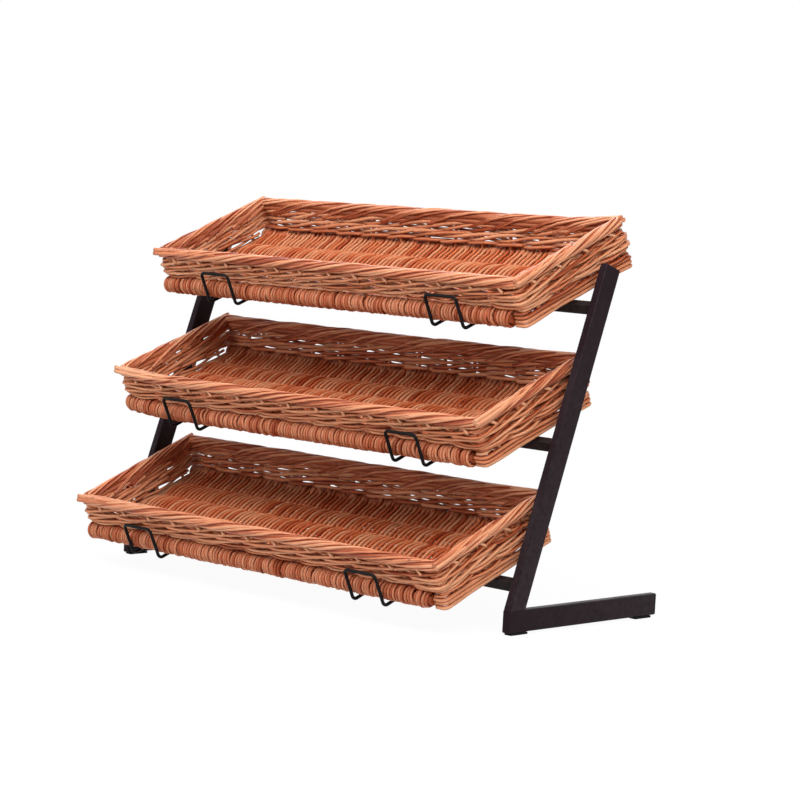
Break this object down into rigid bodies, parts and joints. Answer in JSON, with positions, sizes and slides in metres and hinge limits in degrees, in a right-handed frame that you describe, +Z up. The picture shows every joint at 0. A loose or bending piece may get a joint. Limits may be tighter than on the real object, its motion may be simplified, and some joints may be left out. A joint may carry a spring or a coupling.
{
  "type": "basket stand",
  "caption": "Free-standing counter display stand: leaning flat-tube side frames joined by square rails, with wire hooks holding shallow woven willow baskets that tilt forward and lift off.",
  "frame": {"origin": "on the counter surface, at the middle of the whole stand's box from side to side and front to back", "axes": "+Z up, +X to the right of someone who faces the stand, -Y to its front, where the baskets' low edges are"},
  "size_m": [0.66, 0.3567, 0.4612],
  "materials": {
    "frame_steel": "satin black powder coat with a brown cast",
    "rail_steel": "satin black powder coat",
    "hook_wire": "satin black coated wire",
    "cap_plastic": "matt black moulded plastic",
    "willow_bar": "satin tan willow rods wound round a stick",
    "willow_floor": "satin tan woven willow",
    "willow_end": "satin tan willow rods",
    "willow_wall": "satin tan woven willow",
    "willow_border": "satin tan rolled willow rods"
  },
  "bodies": {
    "stand": {"leg_left": "frame_steel", "leg_right": "frame_steel", "leg_top_plate_left": "frame_steel", "leg_top_plate_right": "frame_steel", "foot_left": "frame_steel", "foot_right": "frame_steel", "foot_front_plate_left": "frame_steel", "foot_front_plate_right": "frame_steel", "foot_rear_cap_left": "cap_plastic", "foot_rear_cap_right": "cap_plastic", "glide_front_left": "cap_plastic", "glide_front_right": "cap_plastic", "glide_rear_left": "cap_plastic", "glide_rear_right": "cap_plastic", "rail_bottom": "rail_steel", "rail_middle": "rail_steel", "rail_top": "rail_steel", "hook_bottom_left": "hook_wire", "hook_bottom_right": "hook_wire", "hook_middle_left": "hook_wire", "hook_middle_right": "hook_wire", "hook_top_left": "hook_wire", "hook_top_right": "hook_wire"},
    "basket_bottom": {"basket_bottom_front_bar": "willow_bar", "basket_bottom_back_bar": "willow_bar", "basket_bottom_floor": "willow_floor", "basket_bottom_end_left": "willow_end", "basket_bottom_end_right": "willow_end", "basket_bottom_wall": "willow_wall", "basket_bottom_border": "willow_border"},
    "basket_middle": {"basket_middle_front_bar": "willow_bar", "basket_middle_back_bar": "willow_bar", "basket_middle_floor": "willow_floor", "basket_middle_end_left": "willow_end", "basket_middle_end_right": "willow_end", "basket_middle_wall": "willow_wall", "basket_middle_border": "willow_border"},
    "basket_top": {"basket_top_front_bar": "willow_bar", "basket_top_back_bar": "willow_bar", "basket_top_floor": "willow_floor", "basket_top_end_left": "willow_end", "basket_top_end_right": "willow_end", "basket_top_wall": "willow_wall", "basket_top_border": "willow_border"}
  },
  "joints": [
    {"name": "lift_bottom", "type": "slide", "parent": "stand", "child": "basket_bottom", "axis": [0, -0.3697, 0.9291], "range_m": [0, 0.05]},
    {"name": "lift_middle", "type": "slide", "parent": "stand", "child": "basket_middle", "axis": [0, -0.3697, 0.9291], "range_m": [0, 0.05]},
    {"name": "lift_top", "type": "slide", "parent": "stand", "child": "basket_top", "axis": [0, -0.3697, 0.9291], "range_m": [0, 0.15]}
  ]
}
